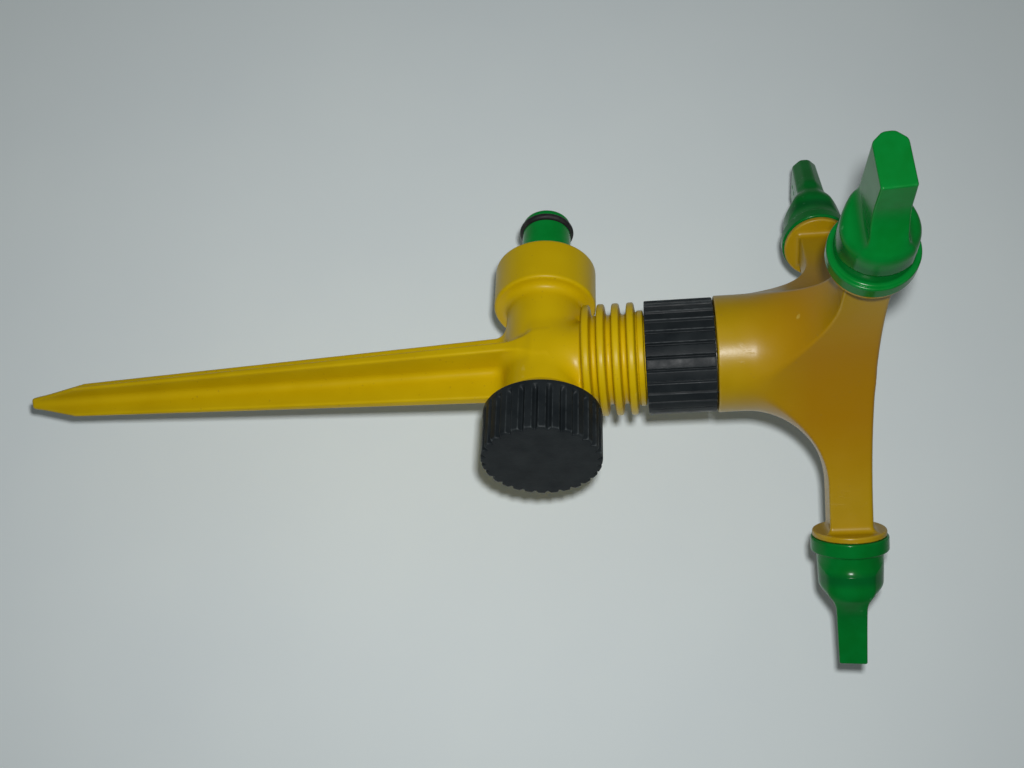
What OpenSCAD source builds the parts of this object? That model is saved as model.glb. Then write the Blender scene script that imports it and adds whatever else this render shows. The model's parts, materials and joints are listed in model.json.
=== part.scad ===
// Three-arm rotary sprinkler on a ground spike.
// The cross barrel lies along X: hose nipple at -X, screw cap at +X.
// The neck, the nut and the rotor stand on Z. The origin is on the spike's axis at the soil line.
// Millimetres.

/* [Spike] */
// Height of the cross barrel's axis above the soil line
axis_h = 25; // [22:1:32]
// Length of the spike from the barrel's axis to its tip
spike_l = 151; // [120:1:180]
// Reach of the spike's fins from its axis at the barrel
spike_root_r = 10.7; // [9:0.1:12]
// Reach of the fins where the point starts
spike_end_r = 5.7; // [4:0.1:8]
// Thickness of the fins at the barrel
fin_root_t = 3.2; // [2:0.1:4]
// Thickness of the fins at the tip
fin_end_t = 1; // [0.8:0.1:2]
// Length of the steeper point
point_l = 14.5; // [8:0.5:20]

/* [Barrel] */
// Outer radius of the cross barrel
barrel_r = 10.65; // [10.4:0.05:11]
// Bore radius of the cross barrel
barrel_bore_r = 7.5; // [6:0.1:8]
// Outer radius of the nipple's collar
collar_r = 14.6; // [14:0.1:15.5]
// Distance from the spin axis to the collar's open face
collar_face = 33.4; // [31:0.1:36]
// Length of the collar
collar_l = 14.2; // [12:0.1:15]

/* [Neck] */
// Radius of the neck between its fins
neck_r = 12.25; // [12:0.05:12.5]
// Radius of the neck's fins
neck_fin_r = 15.45; // [14:0.05:16]
// Number of neck fins
neck_fins = 4; // [2:1:4]
// Distance between neck fins
neck_pitch = 4.03; // [3.6:0.01:4.1]
// Radius of the water way up the neck
neck_bore_r = 7; // [6.9:0.1:7.2]

/* [Nut and cap] */
// Outer radius of the retaining nut
nut_r = 15.65; // [15.4:0.05:17]
// Length of the retaining nut
nut_l = 18.3; // [17:0.1:20]
// Outer radius of the end cap
cap_r = 16.1; // [15.8:0.1:17]
// Length of the end cap
cap_l = 14.95; // [14:0.05:16]
// Number of grip ribs round the nut and round the cap
ribs = 28; // [20:1:32]
// Depth of the grip grooves
rib_depth = 0.9; // [0.4:0.1:1]

/* [Rotor] */
// Outer radius of the hub
hub_r = 15.85; // [15.5:0.05:17]
// Reach of an arm from the spin axis to the outer face of its disc
arm_l = 51.9; // [48:0.1:60]
// Thickness of an arm across its length
arm_t = 9.66; // [9:0.02:11]
// Depth of an arm along the spin axis
arm_d = 11.2; // [10:0.1:13]
// Radius of the round blend between two arms, seen from above
web_r = 68.3; // [60:0.1:80]
// Radius of the fillet under the arms
under_r = 22; // [18:0.1:24]
// Height of the arms' top face above the barrel's axis
top_h = 86.7; // [84:0.1:92]
// Radius of the disc at each arm's end
disc_r = 10.15; // [9.8:0.05:10.3]

/* [Nozzles] */
// Outer radius of a nozzle's rim
rim_r = 10.75; // [10.7:0.05:11.5]
// Radius of a nozzle's cup at its rim
cup_r = 9; // [8.6:0.05:9.4]
// Length of a nozzle from its rim to its tip
nozzle_l = 36; // [33:0.1:42]
// Half width of the tongue at its tip
tongue_w = 3.8; // [3:0.1:4]
// Radius of a jet hole
jet_r = 0.6; // [0.4:0.1:0.8]

/* [Hidden] */
$fn = 96;

eps = 0.01;          // overlap of solids that are joined
face_gap = 0.05;     // between flat faces that turn on each other
turn_gap = 0.3;      // radial gap between threads and bores that turn on each other
seal_gap = 0.1;      // radial gap of a seal to the bore that turns on it

yellow = [0.93, 0.74, 0.03];
green = [0.02, 0.45, 0.16];
black = [0.08, 0.09, 0.10];
rubber = [0.05, 0.05, 0.05];
natural = [0.92, 0.91, 0.86];

// Threads are plain cylinders at the crest radius of the thread that they stand for.
outlet_thread_r = 13.22;     // 3/4 inch pipe thread under the cap
nipple_thread_r = 10.48;     // 1/2 inch pipe thread in the collar
neck_thread_r = 12.2;

// Along the barrel, measured from the spin axis
cap_back = 17.45;            // open rim of the cap
cap_front = cap_back + cap_l;
outlet_face = cap_front - 4.4;
cap_floor = outlet_face + 1.8;
socket_depth = 11.5;         // collar's threaded socket

// Hose nipple, measured along the barrel from the spin axis
nipple_washer_t = 1.8;
nipple_inner = -collar_face + socket_depth - nipple_washer_t;
nipple_seat_r = 8.8;
nipple_seat_l = 1.4;
nipple_waist_r = 6.2;
nipple_waist_l = 2.6;
nipple_body_r = 7.2;
nipple_ring_r = 8.1;
nipple_ring_x = 49.75;
nipple_groove_w = 2.3;
nipple_groove_r = 6.1;
nipple_nose = 52.8;
nipple_bore_r = 5;

// Up the neck, measured from the barrel's axis
fin1_z = 12.5;
fin_crest = 1.65;
fin_base = 2.8;
shoulder_z = 26.2;           // small flange under the nut
shoulder_t = 1.7;
nut_z = 28.35;
neck_top = 37;
seal_t = 1.5;
flange_z = neck_top + seal_t + face_gap;
flange_t = 2.4;
flange_r = 11;
slip_z = flange_z + flange_t + face_gap;
slip_t = 0.9;
lip_z = slip_z + slip_t + face_gap;
nut_top = nut_z + nut_l;
hub_z = nut_top + 0.35;

// Swivel stem
stem_r = 7.6;
stem_bore_r = 4.8;
stem_top = 68;
spigot_r = 6.6;
spigot_bottom = 22;
stem_ring_z = 25;
hub_ring_z = 60;
ring_groove_w = 2.4;

// Rotor
arm_angles = [45, 165, 285];
arm_z = top_h - arm_d / 2;
under_z = top_h - arm_d;
web_step = 0.15;             // the web stands this much proud of the hub where it starts
web_lip = 0.02;              // and of the arms where it ends
fillet_z = under_z - under_r + 0.05;
fillet_centre_r = hub_r + web_step + under_r;
web_end_t = arm_t + 2 * web_lip;
web_centre_r = (web_r + web_end_t / 2) / sin(60);
tangent_r = web_centre_r * cos(60);
disc_t = 1.7;
arm_spigot_r = 6.3;
arm_spigot_l = 12.5;
arm_way_r = 3;
hub_wall = 2.2;
boss_r = 10.5;
skirt_top = 76;
skirt_rib_t = 1.6;

// Nozzles, measured along the arm from the spin axis
nozzle_turns = [8, 1, 183];
rim_start = arm_l + face_gap;
rim_end = rim_start + 4;
cup_end = 66.5;
cup_end_r = cup_r - 0.4;
tip = rim_start + nozzle_l;
cup_bore_r = 7.05;
cup_floor = arm_l + arm_spigot_l + 1;
bead_r = 6.75;
catch_r = 6.55;
arm_ring_x = arm_l + 8;
tongue_flat = 3.4;
tongue_shoulder = 7.8;
tongue_apex = 10.05;
tongue_root_w = tongue_w + 0.4;
jet_y = 2.4;
jet_pitch = 4;

// A cylinder from x0 to x1 along X
module bar_x(r, x0, x1, r2 = -1) {
    translate([x0, 0, 0]) rotate([0, 90, 0]) cylinder(r1 = r, r2 = r2 < 0 ? r : r2, h = x1 - x0);
}

// A cylinder from z0 to z1 along Z
module bar_z(r, z0, z1, r2 = -1) {
    translate([0, 0, z0]) cylinder(r1 = r, r2 = r2 < 0 ? r : r2, h = z1 - z0);
}

// A flat ring on Z
module ring_z(outer, inner, z0, z1) {
    difference() {
        bar_z(outer, z0, z1);
        bar_z(inner, z0 - 1, z1 + 1);
    }
}

// A flat ring on X
module ring_x(outer, inner, x0, x1) {
    difference() {
        bar_x(outer, x0, x1);
        bar_x(inner, x0 - 1, x1 + 1);
    }
}

// An O-ring on X, between its groove's floor and its outer radius
module oring_x(outer, inner, x) {
    section_r = (outer - inner) / 2;
    translate([x, 0, 0]) rotate([0, 90, 0])
        rotate_extrude() translate([inner + section_r, 0]) circle(r = section_r, $fn = 32);
}

module oring_z(outer, inner, z) {
    section_r = (outer - inner) / 2;
    translate([0, 0, z]) rotate_extrude() translate([inner + section_r, 0]) circle(r = section_r, $fn = 32);
}

module at_axis() {
    translate([0, 0, axis_h]) children();
}

// Moves a shape that is built along +X out along arm i
module at_arm(i) {
    translate([0, 0, axis_h + arm_z]) rotate([0, 0, arm_angles[i]]) children();
}

// Half outline of a spike fin: reach against height, from the barrel down to the blunt tip
spike_outline = [
    [0, 0], [spike_root_r, -8], [spike_end_r, point_l - spike_l],
    [1.9, 0.8 - spike_l], [1.2, -spike_l], [0, -spike_l]
];

// Two crossed fins that grow thinner towards the tip
module spike() {
    for (turn = [0, 90]) rotate([0, 0, turn]) intersection() {
        rotate([90, 0, 0]) translate([0, 0, -5]) linear_extrude(10) {
            polygon(spike_outline);
            mirror([1, 0]) polygon(spike_outline);
        }
        rotate([90, 0, 90]) translate([0, 0, -20]) linear_extrude(40) polygon([
            [-fin_root_t / 2, 0], [-fin_end_t / 2, -spike_l], [fin_end_t / 2, -spike_l], [fin_root_t / 2, 0]
        ]);
    }
    // round core where the fins meet
    bar_z(1.1, -spike_l + 1, 0, 3.2);
}

// One annular fin of the neck, with sloping sides
module neck_fin(z) {
    slope = (fin_base - fin_crest) / 2;
    translate([0, 0, z]) rotate_extrude() polygon([
        [neck_r - 1, -fin_base / 2], [neck_r, -fin_base / 2], [neck_fin_r, -fin_crest / 2],
        [neck_fin_r, fin_crest / 2], [neck_r, fin_base / 2], [neck_r - 1, fin_base / 2]
    ]);
}

// Concave fillet of radius f, from a wall that faces +X at x onto a cylinder of radius r0
module fillet_x(x, r0, f) {
    translate([x, 0, 0]) rotate([0, 90, 0]) difference() {
        cylinder(r = r0 + f, h = f);
        translate([0, 0, f]) rotate_extrude() translate([r0 + f, 0]) circle(r = f, $fn = 48);
    }
}

module body() {
    color(yellow) at_axis() difference() {
        union() {
            spike();
            // cross barrel and the threaded outlet under the cap
            bar_x(barrel_r, -collar_face + 3, cap_back - 1);
            bar_x(barrel_r, cap_back - 4, cap_back - 1, outlet_thread_r - 0.6);
            bar_x(outlet_thread_r, cap_back - 1, outlet_face);
            // collar with a rounded inner shoulder
            bar_x(collar_r, -collar_face, -collar_face + collar_l - 1.5);
            bar_x(collar_r, -collar_face + collar_l - 1.5, -collar_face + collar_l, collar_r - 1.8);
            fillet_x(-collar_face + collar_l, barrel_r - 0.2, 1.6);
            // neck with its fins, shoulder and thread
            bar_z(barrel_r, 0, fin1_z);
            bar_z(neck_r, fin1_z - fin_base / 2, shoulder_z);
            for (i = [0 : neck_fins - 1]) neck_fin(fin1_z + i * neck_pitch);
            bar_z(neck_r + 0.85, shoulder_z - 0.2, shoulder_z + shoulder_t);
            bar_z(neck_thread_r, shoulder_z + 1, neck_top);
        }
        // water ways
        bar_x(barrel_bore_r, -collar_face + 5, outlet_face + 1);
        bar_z(neck_bore_r, 0, neck_top + 1);
        // threaded socket for the nipple
        bar_x(nipple_thread_r + turn_gap, -collar_face - 1, -collar_face + socket_depth);
    }
}

// Quick-connect hose nipple, screwed into the collar
module hose_nipple() {
    seat = collar_face + nipple_seat_l;
    waist_end = seat + nipple_waist_l;
    edge = 0.7;
    groove = nipple_groove_w / 2;
    color(green) at_axis() mirror([1, 0, 0]) difference() {
        union() {
            bar_x(nipple_thread_r, -nipple_inner, collar_face - 0.6);
            bar_x(nipple_seat_r, collar_face - 1, seat);
            bar_x(nipple_waist_r, seat - eps, waist_end);
            bar_x(nipple_waist_r, waist_end - eps, waist_end + 1, nipple_body_r);
            bar_x(nipple_body_r, waist_end + 1 - eps, nipple_nose - edge);
            bar_x(nipple_body_r, nipple_nose - edge - eps, nipple_nose, nipple_body_r - edge);
        }
        bar_x(nipple_bore_r, 0, nipple_nose + 1);
        ring_x(nipple_body_r + 1, nipple_groove_r, nipple_ring_x - groove, nipple_ring_x + groove);
    }
}

module nipple_oring() {
    color(rubber) at_axis() oring_x(nipple_ring_r, nipple_groove_r, -nipple_ring_x);
}

module nipple_washer() {
    color(rubber) at_axis()
        ring_x(nipple_thread_r - 0.3, barrel_bore_r, nipple_inner, nipple_inner + nipple_washer_t);
}

// Grip grooves on X or Z: half-round flutes sunk into a cylinder of radius r
module flutes(r, length) {
    flute_r = 1.1;
    for (i = [0 : ribs - 1]) rotate([0, 0, i * 360 / ribs])
        translate([r + flute_r - rib_depth, 0, 0]) cylinder(r = flute_r, h = length, $fn = 24);
}

module end_cap() {
    color(black) at_axis() difference() {
        union() {
            bar_x(cap_r, cap_back, cap_front - 0.8);
            bar_x(cap_r, cap_front - 0.8 - eps, cap_front, cap_r - 0.8);
        }
        bar_x(outlet_thread_r + turn_gap, cap_back - 1, cap_floor);
        translate([cap_back + 1.2, 0, 0]) rotate([0, 90, 0]) flutes(cap_r, cap_l + 1);
    }
}

module cap_washer() {
    color(rubber) at_axis()
        ring_x(outlet_thread_r - 0.5, barrel_bore_r + 0.5, outlet_face + face_gap, cap_floor - face_gap);
}

module retaining_nut() {
    color(black) at_axis() difference() {
        bar_z(nut_r, nut_z, nut_top);
        bar_z(neck_thread_r + turn_gap, nut_z - 1, neck_top + 0.4);
        bar_z(flange_r + turn_gap, neck_top, lip_z);
        bar_z(stem_r + turn_gap, lip_z - 1, nut_top + 1);
        translate([0, 0, nut_z - 1]) flutes(nut_r, nut_l + 2);
    }
}

module swivel_seal() {
    color(rubber) at_axis() ring_z(flange_r, neck_bore_r + 0.2, neck_top, neck_top + seal_t);
}

module slip_washer() {
    color(natural) at_axis() ring_z(flange_r, stem_r + turn_gap, slip_z, slip_z + slip_t);
}

// Tube that the rotor turns on: a flange held under the nut's lip, a spigot in the neck
module swivel_stem() {
    color(natural) at_axis() difference() {
        union() {
            bar_z(spigot_r, spigot_bottom, flange_z + eps);
            bar_z(flange_r, flange_z, flange_z + flange_t);
            bar_z(stem_r, flange_z + flange_t - eps, stem_top);
        }
        bar_z(stem_bore_r, spigot_bottom - 1, stem_top + 1);
        ring_z(spigot_r + 1, spigot_r - 1.3,
            stem_ring_z - ring_groove_w / 2, stem_ring_z + ring_groove_w / 2);
        ring_z(stem_r + 1, stem_r - 1.3,
            hub_ring_z - ring_groove_w / 2, hub_ring_z + ring_groove_w / 2);
    }
}

module stem_oring() {
    color(rubber) at_axis() oring_z(neck_bore_r - seal_gap, spigot_r - 1.3, stem_ring_z);
}

module hub_oring() {
    color(rubber) at_axis() oring_z(stem_r - 0.02, stem_r - 1.3, hub_ring_z);
}

// Plan of the web: six tangent points joined up, less three large round blends
module web_plan() {
    difference() {
        linear_extrude(top_h - fillet_z) polygon([for (a = arm_angles) for (side = [-1, 1])
            [tangent_r * cos(a) - side * web_end_t / 2 * sin(a),
             tangent_r * sin(a) + side * web_end_t / 2 * cos(a)]]);
        for (a = arm_angles) rotate([0, 0, a + 60]) translate([web_centre_r, 0, -1])
            cylinder(r = web_r, h = top_h, $fn = 180);
    }
}

module rotor() {
    color(yellow) difference() {
        union() {
            at_axis() {
                bar_z(hub_r, hub_z, top_h);
                difference() {
                    translate([0, 0, fillet_z]) web_plan();
                    // the fillet under the arms, and all that lies outside it
                    translate([0, 0, fillet_z]) rotate_extrude() translate([fillet_centre_r, 0])
                        circle(r = under_r, $fn = 96);
                    ring_z(fillet_centre_r + 30, fillet_centre_r, fillet_z - 1, under_z);
                }
            }
            for (i = [0 : 2]) at_arm(i) {
                translate([tangent_r - 2, -arm_t / 2, -arm_d / 2])
                    cube([arm_l - disc_t - tangent_r + 2.5, arm_t, arm_d]);
                bar_x(disc_r, arm_l - disc_t, arm_l);
                bar_x(arm_spigot_r, arm_l - eps, arm_l + arm_spigot_l);
                bar_x(bead_r, arm_l + 3.6, arm_l + 4.6);
            }
        }
        // hollow between the skirt and the boss, open at the bottom
        at_axis() {
            difference() {
                ring_z(hub_r - hub_wall, boss_r, hub_z - 1, skirt_top);
                for (a = arm_angles) rotate([0, 0, a])
                    translate([boss_r - 1, -skirt_rib_t / 2, hub_z + 3])
                        cube([hub_r - boss_r, skirt_rib_t, skirt_top]);
            }
            bar_z(stem_r, hub_z - 1, stem_top);
            bar_z(arm_way_r + 1.6, stem_top - eps, arm_z + 2);
        }
        for (i = [0 : 2]) at_arm(i) {
            bar_x(arm_way_r, 0, arm_l + arm_spigot_l + 1);
            ring_x(arm_spigot_r + 1, arm_spigot_r - 1.2,
                arm_ring_x - ring_groove_w / 2, arm_ring_x + ring_groove_w / 2);
        }
    }
}

// The tongue: a flat narrow side at -Y, an arched one at +Y
module tongue(x0, x1) {
    intersection() {
        rotate([90, 0, 90]) translate([0, 0, x0]) linear_extrude(x1 - x0) polygon([
            [-tongue_flat, -tongue_root_w], [tongue_shoulder, -tongue_root_w], [tongue_apex, -1.3],
            [tongue_apex, 1.3], [tongue_shoulder, tongue_root_w], [-tongue_flat, tongue_root_w]
        ]);
        rotate([90, 0, 0]) translate([0, 0, -20]) linear_extrude(40) polygon([
            [x0, -tongue_root_w], [x0, tongue_root_w], [cup_end + 4, tongue_root_w],
            [x1, tongue_w], [x1, -tongue_w], [cup_end + 4, -tongue_root_w]
        ]);
        translate([0, 0, -10]) linear_extrude(20) polygon([
            [x0, -tongue_flat], [x0, 6.8], [cup_end - 1, 7.4], [cup_end + 6, tongue_apex],
            [x1, tongue_apex], [x1, -tongue_flat]
        ]);
    }
}

// Hand grip and nozzle in one: rim, cup, fillet and hollow tongue, with a row of jets in its side
module nozzle(i) {
    color(green) at_arm(i) rotate([nozzle_turns[i], 0, 0]) difference() {
        union() {
            bar_x(rim_r, rim_start, rim_end);
            bar_x(cup_r, rim_end - eps, cup_end, cup_end_r);
            fillet_x(cup_end - eps, tongue_root_w, cup_end_r - tongue_root_w);
            tongue(cup_end - 4, tip);
        }
        bar_x(catch_r, rim_start - 1, cup_floor);
        bar_x(cup_bore_r, arm_l + 3.2, cup_floor);
        // water way in the tongue and its row of jets
        translate([cup_floor - 1, -1.2, -1.6]) cube([tip - cup_floor - 1.5, tongue_shoulder - 0.6, 3.2]);
        for (j = [1 : 3]) translate([tip - jet_pitch * j, jet_y, -tongue_root_w - 1])
            cylinder(r = jet_r, h = tongue_root_w, $fn = 24);
    }
}

module nozzle_oring(i) {
    color(rubber) at_arm(i) oring_x(cup_bore_r - seal_gap, arm_spigot_r - 1.2, arm_ring_x);
}

body();
hose_nipple();
nipple_oring();
nipple_washer();
end_cap();
cap_washer();
retaining_nut();
swivel_seal();
slip_washer();
swivel_stem();
stem_oring();
hub_oring();
rotor();
nozzle(0);  // nozzle_1
nozzle(1);  // nozzle_2
nozzle(2);  // nozzle_3
nozzle_oring(0);  // nozzle_oring_1
nozzle_oring(1);  // nozzle_oring_2
nozzle_oring(2);  // nozzle_oring_3
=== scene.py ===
"""Looks of the three-arm rotary sprinkler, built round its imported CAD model.

Shapes are worked out in millimetres from the barrel's axis, then placed in the frame in metres.
Mouldings are fields: a function that is negative inside the plastic, with real fillets in it.
"""
import json
import math

import bmesh
import bpy
import numpy as np
from mathutils import Matrix, Vector


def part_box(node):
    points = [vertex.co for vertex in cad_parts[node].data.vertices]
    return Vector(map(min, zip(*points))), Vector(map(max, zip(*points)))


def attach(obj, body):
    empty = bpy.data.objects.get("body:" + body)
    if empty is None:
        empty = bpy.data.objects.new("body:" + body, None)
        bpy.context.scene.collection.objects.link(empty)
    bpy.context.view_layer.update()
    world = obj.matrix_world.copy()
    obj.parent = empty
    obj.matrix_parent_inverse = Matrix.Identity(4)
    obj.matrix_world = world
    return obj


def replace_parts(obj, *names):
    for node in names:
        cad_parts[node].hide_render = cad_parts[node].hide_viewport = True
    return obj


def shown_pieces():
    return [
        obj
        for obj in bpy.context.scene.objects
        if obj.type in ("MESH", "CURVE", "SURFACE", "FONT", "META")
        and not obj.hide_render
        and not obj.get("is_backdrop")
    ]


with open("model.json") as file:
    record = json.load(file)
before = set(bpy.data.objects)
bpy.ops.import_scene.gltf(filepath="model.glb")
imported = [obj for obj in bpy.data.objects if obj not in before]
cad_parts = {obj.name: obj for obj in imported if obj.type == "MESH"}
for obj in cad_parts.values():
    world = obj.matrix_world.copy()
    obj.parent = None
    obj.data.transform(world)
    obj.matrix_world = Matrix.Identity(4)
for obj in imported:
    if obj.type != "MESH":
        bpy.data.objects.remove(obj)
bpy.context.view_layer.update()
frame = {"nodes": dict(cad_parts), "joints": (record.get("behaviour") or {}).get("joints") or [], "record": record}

MM = 0.001
joints = {joint["name"]: joint for joint in frame["joints"]}
AXIS_Z = joints["cap_turn"]["pos_m"][2] / MM


def node_box(node):
    """Lowest and highest corners of a CAD node, in millimetres from the barrel's axis"""
    low, high = (np.array(corner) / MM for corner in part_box(node))
    low[2] -= AXIS_Z
    high[2] -= AXIS_Z
    return low, high


# ---------------------------------------------------------------- fields

def round_max(a, b, k):
    """Where both are inside, with the edge between them rounded over about k"""
    h = np.maximum(k - np.abs(a - b), 0) / k
    return np.maximum(a, b) + h * h * k / 4


def round_min(a, b, k):
    """Where either is inside, with a fillet of about k between them"""
    return -round_max(-a, -b, k)


def tube(radial, along, radius, start, end, edge=0.5):
    """A round bar from start to end, with rounded rims"""
    middle, half = (start + end) / 2, (end - start) / 2
    outward = radial - (radius - edge)
    beyond = np.abs(along - middle) - (half - edge)
    outside = np.hypot(np.maximum(outward, 0), np.maximum(beyond, 0))
    return outside + np.minimum(np.maximum(outward, beyond), 0) - edge


def polygonise(field, xs, ys, zs):
    """Surface nets: one vertex in each grid cell that the surface crosses, joined into quads"""
    values = field(xs[:, None, None], ys[None, :, None], zs[None, None, :])
    values = np.broadcast_to(values, (len(xs), len(ys), len(zs)))
    inside = values < 0
    cells = tuple(n - 1 for n in inside.shape)
    corners = [(a, b, c) for a in (0, 1) for b in (0, 1) for c in (0, 1)]
    count = np.zeros(cells, np.int8)
    for a, b, c in corners:
        count += inside[a:cells[0] + a, b:cells[1] + b, c:cells[2] + c]
    i, j, k = np.nonzero((count > 0) & (count < 8))
    number = np.full(cells, -1)
    number[i, j, k] = np.arange(len(i))

    total = np.zeros((len(i), 3))
    crossings = np.zeros(len(i))
    for a in corners:
        for axis in range(3):
            if a[axis]:
                continue
            b = tuple(a[n] + (n == axis) for n in range(3))
            va = values[i + a[0], j + a[1], k + a[2]]
            vb = values[i + b[0], j + b[1], k + b[2]]
            crosses = (va < 0) != (vb < 0)
            share = np.where(crosses, va / np.where(crosses, va - vb, 1), 0)
            pa = np.stack([xs[i + a[0]], ys[j + a[1]], zs[k + a[2]]], 1)
            pb = np.stack([xs[i + b[0]], ys[j + b[1]], zs[k + b[2]]], 1)
            total += (pa + share[:, None] * (pb - pa)) * crosses[:, None]
            crossings += crosses
    points = total / crossings[:, None]

    quads = []
    for axis in range(3):
        u, v = (axis + 1) % 3, (axis + 2) % 3
        near, far = [slice(1, -1)] * 3, [slice(1, -1)] * 3
        near[axis], far[axis] = slice(0, -1), slice(1, None)
        before, after = inside[tuple(near)], inside[tuple(far)]
        edge = np.array(np.nonzero(before != after))
        edge[u] += 1
        edge[v] += 1
        step_u, step_v = np.eye(3, dtype=int)[[u, v], :, None]
        around = [edge - step_u - step_v, edge - step_v, edge, edge - step_u]
        quad = np.stack([number[tuple(cell)] for cell in around], 1)
        faces_back = after[before != after]
        quad[faces_back] = quad[faces_back, ::-1]
        quads.append(quad)
    return points, np.concatenate(quads)


def slope(field, p, step=0.02):
    """The field's gradient at the points p"""
    result = np.empty_like(p)
    for axis in range(3):
        shift = np.zeros(3)
        shift[axis] = step
        result[:, axis] = field(*(p + shift).T) - field(*(p - shift).T)
    return result / (2 * step)


def settle(field, p, rounds=3, reach=0.2):
    """Moves points onto the surface along the field's gradient"""
    for _ in range(rounds):
        g = slope(field, p)
        move = g * (field(*p.T) / np.maximum((g * g).sum(1), 0.05))[:, None]
        length = np.maximum(np.linalg.norm(move, axis=1), 1e-9)
        p = p - move * np.minimum(1, reach / length)[:, None]
    return p


def relax(field, p, quads, rounds=2):
    """Evens out the mesh along the surface"""
    for _ in range(rounds):
        total = np.zeros_like(p)
        count = np.zeros(len(p))
        for side in range(4):
            a, b = quads[:, side], quads[:, (side + 1) % 4]
            for one, other in ((a, b), (b, a)):
                count += np.bincount(one, minlength=len(p))
                for axis in range(3):
                    total[:, axis] += np.bincount(one, p[other, axis], minlength=len(p))
        p = settle(field, p + 0.5 * (total / count[:, None] - p), rounds=2)
    return p


# ---------------------------------------------------------------- meshes

def turned(p, about=(0, 0, 1), degrees=0):
    """Points turned about an axis through the origin"""
    return p @ np.array(Matrix.Rotation(math.radians(degrees), 3, Vector(about))).T


def place(p):
    """Millimetres from the barrel's axis to metres in the frame"""
    return (p + [0, 0, AXIS_Z]) * MM


def weld(mesh):
    """Joins points that lie together, and drops any that have no face"""
    work = bmesh.new()
    work.from_mesh(mesh)
    bmesh.ops.remove_doubles(work, verts=work.verts, dist=1e-6)
    bmesh.ops.delete(work, geom=[point for point in work.verts if not point.link_faces], context="VERTS")
    work.to_mesh(mesh)
    work.free()


def new_piece(name, points, faces, normals=None):
    """A smooth-shaded object from points in millimetres, its faces turned outward"""
    a, b, c = points[faces[:, 0]], points[faces[:, 1]], points[faces[:, 2]]
    if (a * np.cross(b, c)).sum() < 0:
        faces = faces[:, ::-1]
    mesh = bpy.data.meshes.new(name)
    mesh.from_pydata(place(points).tolist(), [], faces.tolist())
    if normals is None:
        weld(mesh)
    mesh.polygons.foreach_set("use_smooth", np.ones(len(mesh.polygons), bool))
    mesh.update()
    if normals is not None:
        mesh.normals_split_custom_set_from_vertices(normals.tolist())
    piece = bpy.data.objects.new(name, mesh)
    bpy.context.scene.collection.objects.link(piece)
    return piece


def thinned(points, faces, most):
    """The same surface with fewer faces where it is flat, as triangles"""
    mesh = bpy.data.meshes.new("thinning")
    mesh.from_pydata(points.tolist(), [], faces.tolist())
    holder = bpy.data.objects.new("thinning", mesh)
    bpy.context.scene.collection.objects.link(holder)
    fewer = holder.modifiers.new("fewer", "DECIMATE")
    fewer.ratio = min(1, most / (2 * len(faces)))
    result = holder.evaluated_get(bpy.context.evaluated_depsgraph_get()).to_mesh()
    result.calc_loop_triangles()
    new_points = np.empty(len(result.vertices) * 3)
    result.vertices.foreach_get("co", new_points)
    new_faces = np.empty(len(result.loop_triangles) * 3, int)
    result.loop_triangles.foreach_get("vertices", new_faces)
    bpy.data.objects.remove(holder)
    bpy.data.meshes.remove(mesh)
    return new_points.reshape(-1, 3), new_faces.reshape(-1, 3)


def moulding(field, xs, ys, zs, most):
    """Points, faces and exact normals of a field's surface"""
    points, faces = polygonise(field, xs, ys, zs)
    points = relax(field, settle(field, points), faces)
    if len(faces) * 2 > most:
        points, faces = thinned(points, faces, most)
        points = settle(field, points, rounds=2)
    normals = slope(field, points)
    return points, faces, normals / np.linalg.norm(normals, axis=1)[:, None]


def lines(*stretches):
    """Grid lines along one axis, from stretches of (start, end, spacing)"""
    parts = [np.arange(start, end, step) for start, end, step in stretches]
    return np.concatenate([*parts, [stretches[-1][1]]])


def revolved(profile, turns=96, swell=None):
    """A ring mesh on X from a closed profile of (x, radius), solid where the profile lies on the axis.
    swell adds to the radius by place."""
    profile = np.array(profile, float)
    angle = np.linspace(0, 2 * math.pi, turns, endpoint=False)
    x = np.repeat(profile[:, :1], turns, 1)
    r = np.repeat(profile[:, 1:], turns, 1)
    if swell is not None:
        r = r + swell(x, r, np.repeat(angle[None], len(profile), 0))
    points = np.stack([x, r * np.cos(angle), r * np.sin(angle)], -1).reshape(-1, 3)
    ring, spot = np.meshgrid(np.arange(len(profile)), np.arange(turns), indexing="ij")
    ahead, beside = (ring + 1) % len(profile), (spot + 1) % turns
    corners = [ring * turns + spot, ahead * turns + spot, ahead * turns + beside, ring * turns + beside]
    faces = np.stack(corners, -1).reshape(-1, 4)
    return points, faces[(r.reshape(-1)[faces] > 0).any(1)]


def upright(p):
    """From a shape made on X to one on Z"""
    return p[:, [1, 2, 0]]


def outline(*corners, step=0.5):
    """A closed profile through (x, radius, edge radius) corners, rounded where an edge radius is given"""
    result = []
    n = len(corners)
    for c in range(n):
        here = np.array(corners[c][:2], float)
        edge = corners[c][2] if len(corners[c]) > 2 else 0
        back = np.array(corners[c - 1][:2], float) - here
        ahead = np.array(corners[(c + 1) % n][:2], float) - here
        back /= np.linalg.norm(back)
        ahead /= np.linalg.norm(ahead)
        if edge:
            half = math.acos(np.clip(back @ ahead, -1, 1)) / 2
            reach = edge / math.tan(half)
            for t in np.linspace(0, 1, 5):
                a, b = here + back * reach, here + ahead * reach
                result.append((1 - t) ** 2 * a + 2 * t * (1 - t) * here + t * t * b)
        else:
            result.append(here)
    filled = []
    for a, b in zip(result, result[1:] + result[:1]):
        pieces = max(1, int(np.linalg.norm(b - a) / step))
        filled += [a + (b - a) * t / pieces for t in range(pieces)]
    return filled


# ---------------------------------------------------------------- body

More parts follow.
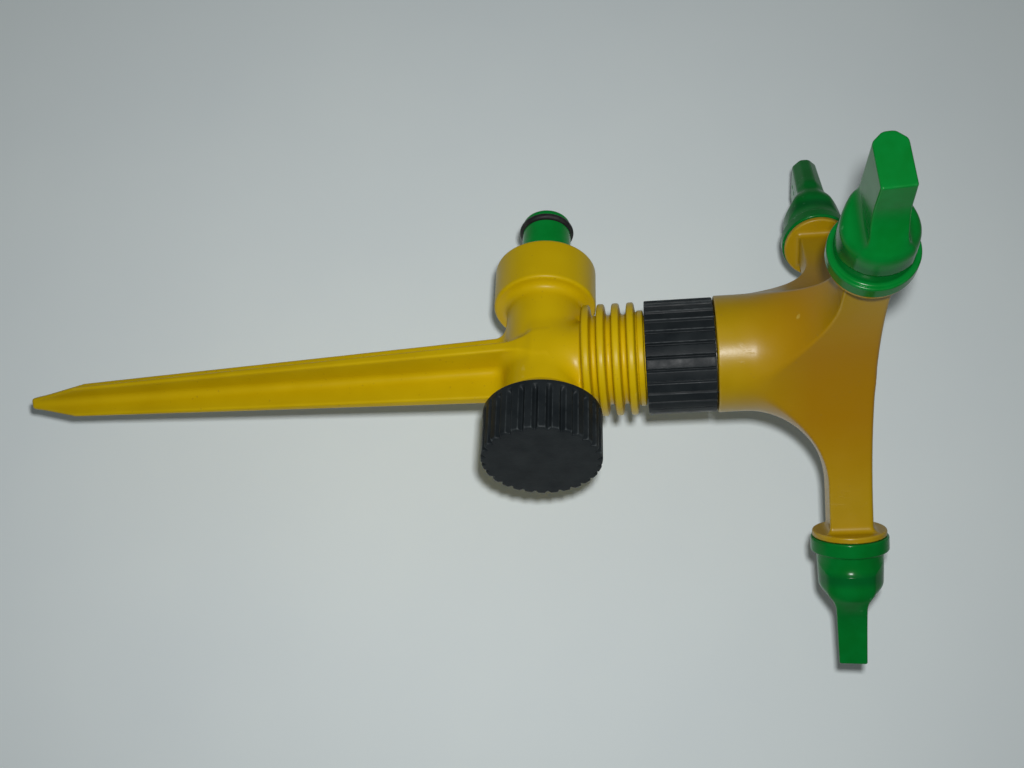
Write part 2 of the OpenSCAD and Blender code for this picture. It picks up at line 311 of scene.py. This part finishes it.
body_low, body_high = node_box("body")
cap_low, cap_high = node_box("end_cap")
nut_low, nut_high = node_box("retaining_nut")
BARREL_R = 10.65
COLLAR_R = 14.6
COLLAR_FACE = body_low[0]
COLLAR_BACK = COLLAR_FACE + 14.1
SOCKET_R, SOCKET_END = 10.8, COLLAR_FACE + 11.5
BARREL_BORE, NECK_BORE = 7.5, 7.0
OUTLET_R, OUTLET_END, OUTLET_PITCH = 13.2, body_high[0], 1.814
OUTLET_START = cap_low[0] - 1
NECK_R, NECK_FIN_R = 12.25, 15.45
FIN_Z, FIN_PITCH, FINS = 12.5, 4.03, 4
SHOULDER_R, SHOULDER_TOP = 13.1, nut_low[2] - 0.45
NECK_THREAD_R, NECK_TOP, NECK_PITCH = 12.2, body_high[2], 3.0
SPIKE_TIP = body_low[2]
SPIKE_ROOT, SPIKE_END, SPIKE_TIP_R = 10.98, 5.8, 1.7
SPIKE_ROOT_HALF, SPIKE_TIP_HALF, POINT_L = 1.62, 0.5, 14.5
LEAN_X, LEAN_Y = 0.7985, 0.602


def neck_field(x, y, z):
    from_axis = np.hypot(x, y)
    nearest = FIN_Z + FIN_PITCH * np.clip(np.round((z - FIN_Z) / FIN_PITCH), 0, FINS - 1)
    side = (np.abs(z - nearest) - 1.4 + 0.15 * (from_axis - NECK_R)) * 0.98
    fins = round_max(side, from_axis - NECK_FIN_R, 0.65)
    root = tube(from_axis, z, BARREL_R, -2, FIN_Z, 0.3)
    core = tube(from_axis, z, NECK_R, FIN_Z, SHOULDER_TOP, 0.3)
    neck = round_min(np.minimum(root, core), fins, 0.5)
    shoulder = tube(from_axis, z, SHOULDER_R, SHOULDER_TOP - 1.6, SHOULDER_TOP, 0.35)
    return round_min(neck, shoulder, 0.6)


def spike_field(x, y, z):
    """Four tapering fins with a point, all leaning a little to one side, their root sunk in the barrel"""
    depth = -z
    lean = 0.94 + 0.0172 * depth
    x, y = x - LEAN_X * lean, y - LEAN_Y * lean
    length = -SPIKE_TIP
    reach = np.interp(depth, [0, 6, length - POINT_L, length],
                      [SPIKE_ROOT - 1.6, SPIKE_ROOT - 0.25, SPIKE_END, SPIKE_TIP_R])
    half = np.interp(depth, [0, length], [SPIKE_ROOT_HALF, SPIKE_TIP_HALF])
    along_x = round_max(np.abs(y) - half, np.abs(x) - reach, 0.8)
    along_y = round_max(np.abs(x) - half, np.abs(y) - reach, 0.8)
    fins = round_max(round_min(along_x, along_y, 2.4), depth - length, 1.2)
    return np.maximum(fins, -depth)


def body_field(x, y, z):
    from_barrel = np.hypot(y, z)
    from_axis = np.hypot(x, y)
    barrel = tube(from_barrel, x, BARREL_R, COLLAR_FACE + 3, OUTLET_START + 1)
    flare = np.maximum(from_barrel - np.interp(x, [OUTLET_START - 3.5, OUTLET_START], [BARREL_R, 12.4]),
                       np.abs(x - OUTLET_START + 2) - 2.5)
    collar = tube(from_barrel, x, COLLAR_R, COLLAR_FACE, COLLAR_BACK, 0.9)
    solid = round_min(np.minimum(barrel, flare), collar, 2.6)
    solid = round_min(solid, neck_field(x, y, z), 2.6)
    solid = round_min(solid, spike_field(x, y, z), 3.5)
    socket = tube(from_barrel, x, SOCKET_R, COLLAR_FACE - 5, SOCKET_END, 0.2)
    bore = np.maximum(from_barrel - BARREL_BORE, -x + SOCKET_END - 1)
    up = np.maximum(from_axis - NECK_BORE, -z)
    return round_max(solid, -np.minimum(np.minimum(socket, bore), up), 0.5)


def helix(radius, start, end, pitch, height):
    """How far a thread of this pitch sinks below its crest radius, fading out at both ends"""
    def swell(x, r, angle):
        turn = x / pitch - angle / (2 * math.pi)
        ridge = np.clip(0.5 + 0.75 * np.cos(2 * math.pi * turn), 0, 1)
        fade = np.clip((x - start) / pitch, 0, 1) * np.clip((end - x) / pitch, 0, 1)
        return np.where(r > radius - 0.5, -height * (1 - ridge * fade), 0)
    return swell


def threaded_end(name, radius, bore, start, end, pitch, height, on_z=False):
    profile = outline((start, bore), (start, radius), (end, radius, 0.3), (end, bore, 0.3), step=pitch / 9)
    points, faces = revolved(profile, 120, helix(radius, start, end, pitch, height))
    piece = new_piece(name, upright(points) if on_z else points, faces)
    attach(piece, "base")
    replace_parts(piece, "body")
    return piece


def make_body():
    fine, long_step = 0.42, 1.6
    xs = lines((COLLAR_FACE - 1.1, OUTLET_START + 2.4, fine))
    ys = lines((-16.6, 17, fine))
    zs = lines((SPIKE_TIP - 1.5, SPIKE_TIP + 4, 0.5), (SPIKE_TIP + 4, -20, long_step),
               (-20, FIN_Z - 2.5, fine), (FIN_Z - 2.5, SHOULDER_TOP + 1, 0.27))
    piece = new_piece("body_moulding", *moulding(body_field, xs, ys, zs, 150000))
    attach(piece, "base")
    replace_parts(piece, "body")
    outlet = threaded_end("outlet_thread", OUTLET_R, BARREL_BORE,
                          OUTLET_START - 1, OUTLET_END, OUTLET_PITCH, 0.95)
    neck = threaded_end("neck_thread", NECK_THREAD_R, NECK_BORE,
                        SHOULDER_TOP - 1, NECK_TOP, NECK_PITCH, 0.9, on_z=True)
    return [piece, outlet, neck]


# ---------------------------------------------------------------- rotor

rotor_low, rotor_high = node_box("rotor")
nozzle_joints = [joints[f"nozzle_{n}_turn"] for n in (1, 2, 3)]
ARM_ANGLES = [math.degrees(math.atan2(joint["axis"][1], joint["axis"][0])) for joint in nozzle_joints]
ARM_Z = nozzle_joints[0]["pos_m"][2] / MM - AXIS_Z
HUB_R, HUB_BORE, STEM_TOP = 15.85, 7.6, 68
ARM_T, ARM_D = 9.66, 11.2
TOP_Z, UNDER_Z = ARM_Z + ARM_D / 2 + 0.3, ARM_Z - ARM_D / 2 - 0.1
WEB_R, UNDER_R, WEB_STEP = 68.3, 22.0, -0.1
DISC_R, DISC_FACE, DISC_T = rotor_high[2] - ARM_Z - 0.15, 51.9, 1.7
SPIGOT_R, SPIGOT_END = 6.3, 64.4
SKIRT_R, BOSS_R, SKIRT_TOP = 13.65, 10.5, 76
web_centre = (WEB_R + ARM_T / 2) / math.sin(math.radians(60))


def arm_frame(x, y, degrees):
    """Distances along and across an arm"""
    c, s = math.cos(math.radians(degrees)), math.sin(math.radians(degrees))
    return x * c + y * s, y * c - x * s


def rotor_field(x, y, z):
    from_axis = np.hypot(x, y)
    fillet_z = UNDER_Z - UNDER_R
    fillet_r = HUB_R + WEB_STEP + UNDER_R
    blends, ends, bars, discs = [], [], [], []
    for degrees in ARM_ANGLES:
        along, across = arm_frame(x, y, degrees)
        middle, aside = arm_frame(x, y, degrees + 60)
        blends.append(WEB_R - np.hypot(middle - web_centre, aside))
        ends.append(along)
        bars.append(np.maximum(np.abs(across) - ARM_T / 2, np.maximum(-along, along - DISC_FACE + 0.6)))
        from_arm = np.hypot(across, z - ARM_Z)
        disc = tube(from_arm, along, DISC_R, DISC_FACE - DISC_T, DISC_FACE, 0.45)
        discs.append(np.minimum(disc, tube(from_arm, along, SPIGOT_R, DISC_FACE - 1, SPIGOT_END, 0.4)))
    web = np.maximum(np.maximum.reduce(blends), np.maximum.reduce(ends) - web_centre / 2)
    plan = np.minimum(web, np.minimum.reduce(bars))
    scoop = np.minimum(np.hypot(from_axis - fillet_r, z - fillet_z) - UNDER_R, z - fillet_z)
    under = np.where(from_axis > fillet_r, z - UNDER_Z, scoop)
    solid = round_max(plan, -under, 0.7)
    solid = round_max(solid, z - TOP_Z, 1.3)
    hub = tube(from_axis, z, HUB_R, rotor_low[2], TOP_Z, 0.5)
    solid = round_min(solid, hub, 0.25)
    solid = round_min(solid, np.minimum.reduce(discs), 1.8)
    skirt = np.maximum(np.maximum(from_axis - SKIRT_R, BOSS_R - from_axis), z - SKIRT_TOP)
    bore = np.maximum(from_axis - HUB_BORE, z - STEM_TOP)
    return round_max(solid, -np.minimum(skirt, bore), 0.5)


def make_rotor():
    fine = 0.5
    xs = lines((rotor_low[0] - 1.3, rotor_high[0] + 1.3, fine))
    ys = lines((rotor_low[1] - 1.3, rotor_high[1] + 1.3, fine))
    zs = lines((rotor_low[2] - 1.3, rotor_high[2] + 1.3, fine))
    piece = new_piece("rotor_moulding", *moulding(rotor_field, xs, ys, zs, 160000))
    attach(piece, "rotor")
    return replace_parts(piece, "rotor")


# ---------------------------------------------------------------- nozzles

NOZZLE_TURNS = [8, 1, 183]
RIM_START, RIM_END, RIM_R = 51.95, 55.95, 10.5
CUP_END, CUP_R, CUP_END_R = 66.7, 9.0, 8.6
TIP = RIM_START + 36
SPIGOT_BORE, CUP_BORE, CUP_FLOOR = 6.55, 7.05, 65.4
FLAT, FLARE_START, FLARE_R = 3.4, 80.0, 12.5
SHOULDER, APEX = 7.8, 10.05
BEAD_SEAT_X, BEAD_SEAT_HALF = 60.25, 5.15
WAY_X, WAY_HALF, WAY_T, WAY_W = 74.7, 10.3, 1.6, 3.6
JET_R, JET_Y, JET_PITCH = 0.6, 2.4, 4


def nozzle_field(x, y, z):
    """Along X: the tongue's arched side at +Y, its flat side at -Y"""
    from_axis = np.hypot(y, z)
    rim = tube(from_axis, x, RIM_R, RIM_START, RIM_END, 0.5)
    cup_radius = np.interp(x, [RIM_END, CUP_END], [CUP_R, CUP_END_R])
    cup = round_max(from_axis - cup_radius, x - CUP_END, 2.2)
    cup = np.maximum(cup, RIM_START + 1 - x)
    half = np.interp(x, [RIM_END, CUP_END, TIP], [4.3, 4.25, 3.75])
    facet = ((np.abs(z) - half) * (APEX - SHOULDER) + (y - SHOULDER) * 0.65 * half) / math.hypot(2.25, 2.5)
    flare = np.maximum(FLARE_START - x, 0) ** 2 / (2 * FLARE_R)
    flat = round_max(-FLAT - flare - y, np.where(y < 0, from_axis - CUP_END_R + 0.9, -5), 1.5)
    wide = round_max(round_max(y - APEX, facet, 0.5), flat, 0.6)
    tongue = round_max(wide, np.abs(z) - half, 0.6)
    tongue = round_max(tongue, x - TIP, 0.5)
    tongue = np.maximum(tongue, CUP_END - 3.5 - x)
    slant = (y - SHOULDER + 0.2 - (x - CUP_END) * 0.75) * 0.8
    tongue = round_max(tongue, slant, 3.0)
    solid = round_min(round_min(rim, cup, 0.9), tongue, 5.5)
    bore = np.maximum(from_axis - SPIGOT_BORE, x - CUP_FLOOR + 4)
    bore = np.minimum(bore, np.maximum(from_axis - CUP_BORE, np.abs(x - BEAD_SEAT_X) - BEAD_SEAT_HALF))
    way = np.maximum(np.maximum(np.abs(z) - WAY_T, np.abs(y - JET_Y) - WAY_W), np.abs(x - WAY_X) - WAY_HALF)
    hollow = np.minimum(bore, way)
    for jet in (1, 2, 3):
        hole = np.maximum(np.hypot(x - TIP + JET_PITCH * jet, y - JET_Y) - JET_R, z)
        hollow = np.minimum(hollow, hole)
    return round_max(solid, -hollow, 0.3)


def make_nozzles():
    fine = 0.3
    xs = lines((RIM_START - 1.1, TIP + 1, fine))
    ys = lines((-11.9, 12, fine))
    points, faces, normals = moulding(nozzle_field, xs, ys, ys, 80000)
    pieces = []
    for n, (degrees, turn) in enumerate(zip(ARM_ANGLES, NOZZLE_TURNS), 1):
        def at_arm(p):
            return turned(turned(p, (1, 0, 0), turn), (0, 0, 1), degrees)
        piece = new_piece(f"nozzle_cap_{n}", at_arm(points) + [0, 0, ARM_Z], faces, at_arm(normals))
        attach(piece, f"nozzle_{n}")
        pieces.append(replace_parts(piece, f"nozzle_{n}"))
    return pieces


# ---------------------------------------------------------------- ribbed cap and nut

RIBS = 28


def ribbing(radius, depth, tilt, start, valley_share):
    """Grip ribs with valleys between them, from start on; each rib rises by tilt towards one edge"""
    root = radius - 2.2

    def swell(x, r, angle):
        place = RIBS * angle / (2 * math.pi) % 1
        valley = np.clip(1.2 * (1 - 2 * np.minimum(place, 1 - place) / valley_share), 0, 1)
        drop = depth * valley + tilt * (1 - place) * (1 - valley)
        reach = np.clip((x - start) / 0.35, 0, 1)
        return -drop * reach * np.clip((r - root) / 2.2, 0, 1)
    return swell


def make_cap():
    back, front, radius = cap_low[0], cap_high[0], cap_high[1]
    bore, floor = OUTLET_R + 0.35, OUTLET_END + 1.75
    profile = outline((floor, 0), (floor, bore, 0.4), (back, bore, 0.2), (back, radius, 0.4),
                      (front, radius, 0.6), (front, 0), step=0.5)
    rings = [point for point in profile if point[1] > 4 or point[1] == 0]
    points, faces = revolved(rings, RIBS * 20, ribbing(radius, 1.2, 0.15, back + 1.7, 0.5))
    piece = new_piece("end_cap_moulding", points, faces)
    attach(piece, "cap")
    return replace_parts(piece, "end_cap")


def make_nut():
    bottom, top, radius = nut_low[2], nut_high[2], nut_high[0]
    thread, hole, lip = NECK_THREAD_R + 0.3, 7.9, top - 4.7
    profile = outline((bottom, thread, 0.2), (bottom, radius, 0.3), (top, radius, 0.3), (top, hole, 0.2),
                      (lip, hole, 0.2), (lip, 11.3, 0.2), (lip - 4.5, 11.3, 0.2), (lip - 4.5, thread, 0.2))
    points, faces = revolved(profile, RIBS * 20, ribbing(radius, 0.95, 0.4, bottom - 1, 0.3))
    piece = new_piece("retaining_nut_moulding", upright(points), faces)
    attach(piece, "nut")
    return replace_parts(piece, "retaining_nut")


# ---------------------------------------------------------------- nipple

nipple_low, nipple_high = node_box("hose_nipple")
ring_low, ring_high = node_box("nipple_oring")


def make_nipple():
    nose, inner = -nipple_low[0], -nipple_high[0]
    seat, ring_x = -COLLAR_FACE + 1.4, -(ring_low[0] + ring_high[0]) / 2
    profile = outline((inner, 5, 0.2), (inner, 10.4, 0.4), (seat - 2, 10.4, 0.4), (seat - 2, 8.8, 0.3),
                      (seat, 8.8, 0.4), (seat, 6.2, 0.5), (seat + 2.6, 6.2, 0.6), (seat + 3.6, 7.2, 0.5),
                      (ring_x - 1.15, 7.2, 0.25), (ring_x - 1.15, 6.1, 0.2), (ring_x + 1.15, 6.1, 0.2),
                      (ring_x + 1.15, 7.2, 0.25), (nose, 7.2, 0.9), (nose, 5, 0.4), step=0.6)
    points, faces = revolved(profile, 96)
    nipple = new_piece("hose_nipple_moulding", points * [-1, 1, 1], faces)
    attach(nipple, "base")
    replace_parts(nipple, "hose_nipple")
    outer = ring_high[1]
    section = (outer - 6.1) / 2
    angles = np.linspace(0, 2 * math.pi, 24, endpoint=False)
    circle = [(ring_x + section * math.cos(a), 6.1 + section + section * math.sin(a)) for a in angles]
    points, faces = revolved(circle, 96)
    ring = new_piece("nipple_oring_ring", points * [-1, 1, 1], faces)
    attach(ring, "base")
    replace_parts(ring, "nipple_oring")
    return nipple, ring


# ---------------------------------------------------------------- materials

class Look:
    """A Principled material with a small helper for each kind of node"""

    def __init__(self, name, colour, roughness, **sockets):
        self.material = bpy.data.materials.new(name)
        self.material.use_nodes = True
        self.nodes = self.material.node_tree.nodes
        self.links = self.material.node_tree.links
        self.shader = self.nodes["Principled BSDF"]
        self.shader.inputs["Base Color"].default_value = (*colour, 1)
        self.shader.inputs["Roughness"].default_value = roughness
        for socket, value in sockets.items():
            self.shader.inputs[socket.replace("_", " ")].default_value = value
        self.place = self.nodes.new("ShaderNodeTexCoord").outputs["Object"]

    def join(self, source, target):
        self.links.new(source, target)
        return target

    def stretched(self, x, y, z):
        """The piece's own coordinates, stretched along each axis"""
        node = self.nodes.new("ShaderNodeMapping")
        node.inputs["Scale"].default_value = (x, y, z)
        self.join(self.place, node.inputs["Vector"])
        return node.outputs["Vector"]

    def noise(self, per_metre, detail=3, roughness=0.55, vector=None, distortion=0):
        node = self.nodes.new("ShaderNodeTexNoise")
        node.inputs["Scale"].default_value = per_metre
        node.inputs["Detail"].default_value = detail
        node.inputs["Roughness"].default_value = roughness
        node.inputs["Distortion"].default_value = distortion
        self.join(vector or self.place, node.inputs["Vector"])
        return node.outputs["Fac"]

    def ramp(self, value, start, end, low=0.0, high=1.0):
        """The value's stretch from start to end, spread over low to high"""
        node = self.nodes.new("ShaderNodeMapRange")
        node.inputs["From Min"].default_value = start
        node.inputs["From Max"].default_value = end
        node.inputs["To Min"].default_value = low
        node.inputs["To Max"].default_value = high
        self.join(value, node.inputs["Value"])
        return node.outputs["Result"]

    def maths(self, operation, a, b):
        node = self.nodes.new("ShaderNodeMath")
        node.operation = operation
        for socket, value in zip(node.inputs, (a, b)):
            if isinstance(value, (int, float)):
                socket.default_value = value
            else:
                self.join(value, socket)
        return node.outputs[0]

    def mixed(self, share, a, b, kind="MIX"):
        """Two colours, or a colour and a socket, mixed by share"""
        node = self.nodes.new("ShaderNodeMix")
        node.data_type = "RGBA"
        node.blend_type = kind
        self.join(share, node.inputs["Factor"])
        for name, value in (("A", a), ("B", b)):
            socket = next(i for i in node.inputs if i.name == name and i.type == "RGBA")
            if isinstance(value, tuple):
                socket.default_value = (*value, 1)
            else:
                self.join(value, socket)
        return next(o for o in node.outputs if o.type == "RGBA")

    def axes(self):
        """The piece's own X, Y and Z in metres"""
        node = self.nodes.new("ShaderNodeSeparateXYZ")
        self.join(self.place, node.inputs["Vector"])
        return node.outputs["X"], node.outputs["Y"], node.outputs["Z"]

    def from_spin_axis(self):
        """The distance from the rotor's spin axis in metres"""
        squares = [self.maths("MULTIPLY", axis, axis) for axis in self.axes()[:2]]
        return self.maths("SQRT", self.maths("ADD", *squares), 0)

    def worn_edges(self, start, end):
        """From 0 on flats to 1 on sharp outer edges"""
        sharp = self.nodes.new("ShaderNodeNewGeometry").outputs["Pointiness"]
        return self.ramp(sharp, start, end)

    def bump(self, height, distance):
        node = self.nodes.new("ShaderNodeBump")
        node.inputs["Strength"].default_value = 1
        node.inputs["Distance"].default_value = distance
        self.join(height, node.inputs["Height"])
        self.join(node.outputs["Normal"], self.shader.inputs["Normal"])


def yellow_plastic(name="yellow_plastic", dark=(0.55, 0.37, 0.0005), light=(0.59, 0.405, 0.001), gloss=0.18,
                   painted_web_shade=None):
    look = Look(name, dark, 0.30, Specular_IOR_Level=gloss)
    colour = look.mixed(look.ramp(look.noise(70, 2), 0.35, 0.68), dark, light)
    if painted_web_shade:
        # Painted shade: near the spin axis and towards the top, the rotor is painted a darker, deeper orange, for
        # the shade and bounce light in the web between the arms.
        web_shade_height = look.ramp(look.axes()[2], 0.076, 0.096)
        centre = look.ramp(look.from_spin_axis(), 0.020, 0.042, 1, 0.1)
        colour = look.mixed(look.maths("MULTIPLY", web_shade_height, centre), colour, painted_web_shade)
    specks = look.ramp(look.noise(900, 1), 0.735, 0.76)
    colour = look.mixed(look.maths("MULTIPLY", specks, 0.35), colour, (0.30, 0.18, 0.02))
    patches = look.ramp(look.noise(260, 3), 0.42, 0.62, 0, 0.4)
    rubbed = look.maths("MULTIPLY", look.worn_edges(0.53, 0.60), patches)
    colour = look.mixed(rubbed, colour, (0.70, 0.58, 0.14))
    look.join(colour, look.shader.inputs["Base Color"])
    rough = look.ramp(look.noise(140, 4), 0.3, 0.7, 0.28, 0.40)
    look.join(rough, look.shader.inputs["Roughness"])
    scuffs = look.ramp(look.noise(90, 6, 0.7, look.stretched(1, 9, 2), 0.6), 0.60, 0.66)
    grain = look.maths("MULTIPLY", look.noise(1900, 2), 0.6)
    look.bump(look.maths("ADD", grain, look.maths("MULTIPLY", scuffs, 0.5)), 0.00002)
    return look.material


def rotor_yellow():
    """The rotor's batch of the plastic, darker and more orange than the body's, which is partly its own tone and
    partly painted shade; near the spin axis and towards the top it is painted a deeper orange still, as painted
    shade and bounce light in the web between the arms
    """
    return yellow_plastic("rotor_yellow", (0.385, 0.240, 0.0006), (0.415, 0.260, 0.001),
                          gloss=0.34, painted_web_shade=(0.355, 0.178, 0.0006))


def green_plastic(name="green_plastic", dark=(0.001, 0.22, 0.028), light=(0.002, 0.26, 0.038), banded=False):
    look = Look(name, dark, 0.2, Specular_IOR_Level=0.14)
    colour = look.mixed(look.ramp(look.noise(150, 2), 0.35, 0.68), dark, light)
    if banded:
        # A darker band painted round each cup, 63 mm from the spin axis.
        from_band_middle = look.maths("ABSOLUTE", look.maths("SUBTRACT", look.from_spin_axis(), 0.0630), 0)
        colour = look.mixed(look.ramp(from_band_middle, 0.0024, 0.0006, 0, 0.45), colour, (0.0005, 0.055, 0.016))
    patches = look.ramp(look.noise(420, 3), 0.40, 0.62, 0, 0.3)
    rubbed = look.maths("MULTIPLY", look.worn_edges(0.53, 0.60), patches)
    look.join(look.mixed(rubbed, colour, (0.10, 0.34, 0.16)), look.shader.inputs["Base Color"])
    look.join(look.ramp(look.noise(210, 4), 0.3, 0.7, 0.14, 0.24), look.shader.inputs["Roughness"])
    look.bump(look.noise(1500, 2), 0.00001)
    return look.material


def nozzle_green():
    """The nozzles, with a darker band painted round each cup, 63 mm from the spin axis"""
    return green_plastic("nozzle_green", (0.0004, 0.140, 0.016), (0.0008, 0.168, 0.024), banded=True)


def black_plastic():
    look = Look("black_plastic", (0.013, 0.015, 0.017), 0.42, Specular_IOR_Level=0.09)
    colour = look.mixed(look.ramp(look.noise(180, 3), 0.3, 0.7), (0.010, 0.013, 0.015), (0.018, 0.022, 0.024))
    # Lighter grey on sharp outer edges: rubbed wear, and a painted highlight for the glints along the rib edges.
    patches = look.ramp(look.noise(700, 3), 0.36, 0.60, 0.1, 0.8)
    rubbed = look.maths("MULTIPLY", look.worn_edges(0.52, 0.60), patches)
    colour = look.mixed(rubbed, colour, (0.115, 0.130, 0.135))
    look.join(colour, look.shader.inputs["Base Color"])
    look.join(look.ramp(look.noise(240, 4), 0.3, 0.7, 0.32, 0.50), look.shader.inputs["Roughness"])
    look.bump(look.noise(2200, 3), 0.00003)
    return look.material


def seal_rubber():
    look = Look("seal_rubber", (0.012, 0.012, 0.013), 0.55, Specular_IOR_Level=0.4)
    dust = look.ramp(look.noise(600, 4), 0.45, 0.75, 0, 0.4)
    look.join(look.mixed(dust, (0.011, 0.011, 0.012), (0.05, 0.048, 0.044)), look.shader.inputs["Base Color"])
    look.join(look.ramp(look.noise(400, 3), 0.3, 0.7, 0.46, 0.66), look.shader.inputs["Roughness"])
    look.bump(look.noise(3000, 2), 0.00002)
    return look.material


def natural_plastic():
    look = Look("natural_plastic", (0.72, 0.71, 0.65), 0.35, Specular_IOR_Level=0.5)
    colour = look.mixed(look.ramp(look.noise(200, 3), 0.3, 0.7), (0.70, 0.69, 0.62), (0.76, 0.75, 0.70))
    look.join(colour, look.shader.inputs["Base Color"])
    look.join(look.ramp(look.noise(300, 3), 0.3, 0.7, 0.28, 0.42), look.shader.inputs["Roughness"])
    look.bump(look.noise(1800, 2), 0.00001)
    return look.material


def paint(piece, material):
    piece.data.materials.clear()
    piece.data.materials.append(material)


def paint_all(made):
    """Each new piece by its look, and each CAD node that still shows by its slot in the record"""
    makers = [yellow_plastic, green_plastic, black_plastic, seal_rubber, natural_plastic,
              rotor_yellow, nozzle_green]
    looks = {maker.__name__: maker() for maker in makers}
    for look, slot, pieces in made:
        for piece in pieces:
            paint(piece, looks[look])
    for part in frame["record"]["subparts"]:
        node = frame["nodes"][part["node"]]
        if not node.hide_render:
            paint(node, looks[part["material_slot"]])


# ---------------------------------------------------------------- stage, lights and camera

CAMERA_AT = Vector((0.1995, -0.2559, 0.0574))
CAMERA_BACK = Vector((0.5971, -0.7920, 0.1271)).normalized()
CAMERA_RIGHT = Vector((-0.0345, 0.1329, 0.9905))
LENS, SENSOR = 41.28, 36
TABLE_OUT = Vector((-0.40, 0.90, -0.175)).normalized()
ROOM = (0.085, 0.092, 0.093)
BACKDROP = (0.40, 0.44, 0.45)
TABLE_COLOUR = (0.87, 0.945, 0.95)
TABLE_SHADE = (0.84, 0.915, 0.93)


def make_camera():
    camera = bpy.data.objects.new("camera", bpy.data.cameras.new("camera"))
    camera.data.lens = LENS
    camera.data.sensor_width = SENSOR
    camera.data.clip_start = 0.01
    up = CAMERA_BACK.cross(CAMERA_RIGHT).normalized()
    right = up.cross(CAMERA_BACK)
    camera.matrix_world = Matrix.LocRotScale(
        CAMERA_AT, Matrix((right, up, CAMERA_BACK)).transposed(), (1, 1, 1))
    bpy.context.scene.collection.objects.link(camera)
    bpy.context.scene.camera = camera
    return up, right


def make_floor():
    """A pale one-sided plane behind the sprinkler, just out of reach of the arms as the rotor turns"""
    across = math.hypot(TABLE_OUT.x, TABLE_OUT.y)
    deepest = max(math.hypot(v.co.x, v.co.y) * across + v.co.z * TABLE_OUT.z
                  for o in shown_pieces() if o.type == "MESH" and o.name.startswith(("rotor", "nozzle"))
                  for v in o.data.vertices)
    mesh = bpy.data.meshes.new("table")
    side = TABLE_OUT.orthogonal().normalized()
    other = TABLE_OUT.cross(side)
    middle = TABLE_OUT * (deepest + 0.001)
    reach = 2.5
    corners = [middle + side * a * reach + other * b * reach for a, b in ((-1, -1), (-1, 1), (1, 1), (1, -1))]
    mesh.from_pydata(corners, [], [(0, 1, 2, 3)])
    floor = bpy.data.objects.new("table", mesh)
    bpy.context.scene.collection.objects.link(floor)
    floor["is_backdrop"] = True
    floor.visible_shadow = False
    paint(floor, one_sided_table())


def one_sided_table():
    """Pale and matt in front, and clear from behind, where the sprinkler is looked at through it"""
    look = Look("table", TABLE_COLOUR, 0.8, Specular_IOR_Level=0.1)
    mottle = look.ramp(look.noise(14, 3), 0.3, 0.7)
    look.join(look.mixed(mottle, TABLE_COLOUR, TABLE_SHADE), look.shader.inputs["Base Color"])
    clear = look.nodes.new("ShaderNodeBsdfTransparent")
    sides = look.nodes.new("ShaderNodeMixShader")
    look.join(look.nodes.new("ShaderNodeNewGeometry").outputs["Backfacing"], sides.inputs[0])
    look.join(look.shader.outputs[0], sides.inputs[1])
    look.join(clear.outputs[0], sides.inputs[2])
    look.join(sides.outputs[0], look.nodes["Material Output"].inputs["Surface"])
    return look.material


def area_light(name, at, aim, size, watts, colour=(1, 1, 1)):
    data = bpy.data.lights.new(name, "AREA")
    data.size = size
    data.energy = watts
    data.color = colour
    light = bpy.data.objects.new(name, data)
    light.location = at
    light.rotation_mode = "QUATERNION"
    light.rotation_quaternion = (Vector(aim) - Vector(at)).to_track_quat("-Z", "Y")
    bpy.context.scene.collection.objects.link(light)


def make_lights(up, right):
    aim = Vector((0, 0, 0.03))
    area_light("key", CAMERA_AT + right * 0.007 + up * 0.014, aim, 0.01, 0.79)
    area_light("soft_above", aim - TABLE_OUT * 0.7 + up * 0.25, aim, 0.6, 0.18, (0.97, 0.99, 1.0))
    area_light("soft_behind", aim + TABLE_OUT * 0.7 - up * 0.2, aim, 0.6, 1.3, (0.97, 0.99, 1.0))


def make_world():
    """A dim even room, which the camera sees as a plain pale backdrop"""
    world = bpy.data.worlds.new("world")
    world.use_nodes = True
    nodes, links = world.node_tree.nodes, world.node_tree.links
    room = nodes["Background"]
    room.inputs["Color"].default_value = (*ROOM, 1)
    backdrop = nodes.new("ShaderNodeBackground")
    backdrop.inputs["Color"].default_value = (*BACKDROP, 1)
    seen = nodes.new("ShaderNodeMixShader")
    links.new(nodes.new("ShaderNodeLightPath").outputs["Is Camera Ray"], seen.inputs[0])
    links.new(room.outputs[0], seen.inputs[1])
    links.new(backdrop.outputs[0], seen.inputs[2])
    links.new(seen.outputs[0], nodes["World Output"].inputs["Surface"])
    bpy.context.scene.world = world


def main():
    bpy.context.scene.view_settings.view_transform = "Standard"
    up, right = make_camera()
    body = make_body()
    rotor = make_rotor()
    nozzles = make_nozzles()
    nipple, ring = make_nipple()
    paint_all([
        ("yellow_plastic", "yellow_plastic", body),
        ("rotor_yellow", "yellow_plastic", [rotor]),
        ("green_plastic", "green_plastic", [nipple]),
        ("nozzle_green", "green_plastic", nozzles),
        ("black_plastic", "black_plastic", [make_cap(), make_nut()]),
        ("seal_rubber", "seal_rubber", [ring]),
    ])
    make_floor()
    make_lights(up, right)
    make_world()


main()
